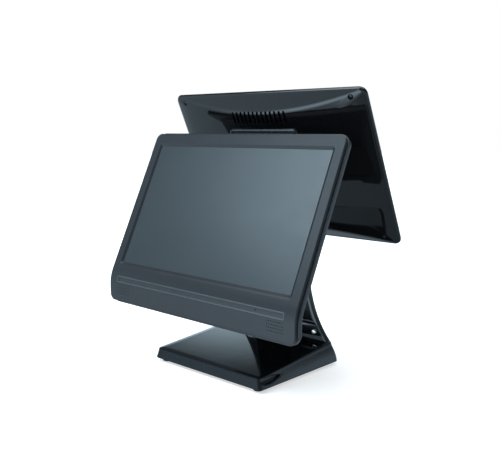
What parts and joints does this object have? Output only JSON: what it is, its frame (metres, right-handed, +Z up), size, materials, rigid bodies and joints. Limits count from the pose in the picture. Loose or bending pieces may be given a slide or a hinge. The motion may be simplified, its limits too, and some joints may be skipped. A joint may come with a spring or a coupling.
{
  "type": "point-of-sale terminal",
  "caption": "Counter-top point-of-sale terminal: tilting touchscreen with a curved speaker chin, a tilting customer display behind it, a flared neck and a wedge base.",
  "frame": {"origin": "on the counter under the centre of the terminal's bounding box", "axes": "+X to the operator's right, +Y from the operator towards the customer, +Z up"},
  "size_m": [0.388, 0.2479, 0.4095],
  "materials": {
    "bezel_plastic": "fine satin moulded plastic, dark graphite",
    "shell_plastic": "satin moulded plastic, graphite",
    "gloss_black": "piano black",
    "satin_black": "satin black paint on a die casting",
    "screen_glass": "touch glass with a soft anti-glare face",
    "lcd_panel": "dark panel, switched off",
    "zinc_steel": "zinc-plated sheet",
    "black_steel": "black oxide",
    "aluminium": "mill finish",
    "circuit_board": "green solder mask",
    "rubber": "black moulded rubber",
    "socket_black": "black moulded plastic",
    "nickel": "nickel plate",
    "light_pipe": "clear moulded plastic"
  },
  "bodies": {
    "stand": {"base_cover": "gloss_black", "base_bottom_plate": "zinc_steel", "base_ballast": "black_steel", "foot_front_left": "rubber", "foot_front_right": "rubber", "foot_rear_left": "rubber", "foot_rear_right": "rubber", "neck_spine": "zinc_steel", "neck_casting": "satin_black", "neck_front_cover": "gloss_black", "neck_thumb_screw_left": "nickel", "neck_thumb_screw_right": "nickel", "hinge_shroud": "satin_black", "main_hinge_bracket": "zinc_steel", "main_hinge_pin": "nickel", "main_friction_washer_left": "nickel", "main_friction_washer_right": "nickel", "customer_hinge_bracket": "zinc_steel", "customer_hinge_pin": "nickel", "customer_friction_washer_left": "nickel", "customer_friction_washer_right": "nickel"},
    "main_display": {"main_front_bezel": "bezel_plastic", "main_rear_shell": "shell_plastic", "main_trim_strip": "shell_plastic", "status_light_pipe": "light_pipe", "main_touch_glass": "screen_glass", "main_lcd_panel": "lcd_panel", "main_chassis": "zinc_steel", "main_board": "circuit_board", "heat_sink": "aluminium", "storage_drive": "aluminium", "power_board": "circuit_board", "hinge_backing_plate": "zinc_steel", "speaker_left": "socket_black", "speaker_right": "socket_black", "io_port_plate": "zinc_steel", "power_socket": "socket_black", "network_socket": "socket_black", "usb_socket": "socket_black", "drawer_socket": "socket_black", "serial_socket": "socket_black", "main_hinge_leaf": "zinc_steel"},
    "power_button": {"power_button": "gloss_black"},
    "customer_display": {"customer_back_cover": "gloss_black", "cover_screw_upper_left": "black_steel", "cover_screw_upper_right": "black_steel", "cover_screw_lower_left": "black_steel", "cover_screw_lower_right": "black_steel", "customer_mount_boss": "satin_black", "customer_front_bezel": "gloss_black", "customer_glass": "screen_glass", "customer_lcd_panel": "lcd_panel", "customer_chassis": "zinc_steel", "customer_driver_board": "circuit_board", "customer_hinge_leaf": "zinc_steel"}
  },
  "joints": [
    {"name": "main_tilt", "type": "hinge", "parent": "stand", "child": "main_display", "pos_m": [0, -0.007, 0.205], "axis": [1, 0, 0], "range_deg": [-10, 20]},
    {"name": "power_button_press", "type": "slide", "parent": "main_display", "child": "power_button", "axis": [0, 0, 1], "range_m": [0, 0.001], "stiffness_N_per_m": 1200},
    {"name": "customer_tilt", "type": "hinge", "parent": "stand", "child": "customer_display", "pos_m": [0, 0.0475, 0.2614], "axis": [1, 0, 0], "range_deg": [-12, 3]}
  ]
}
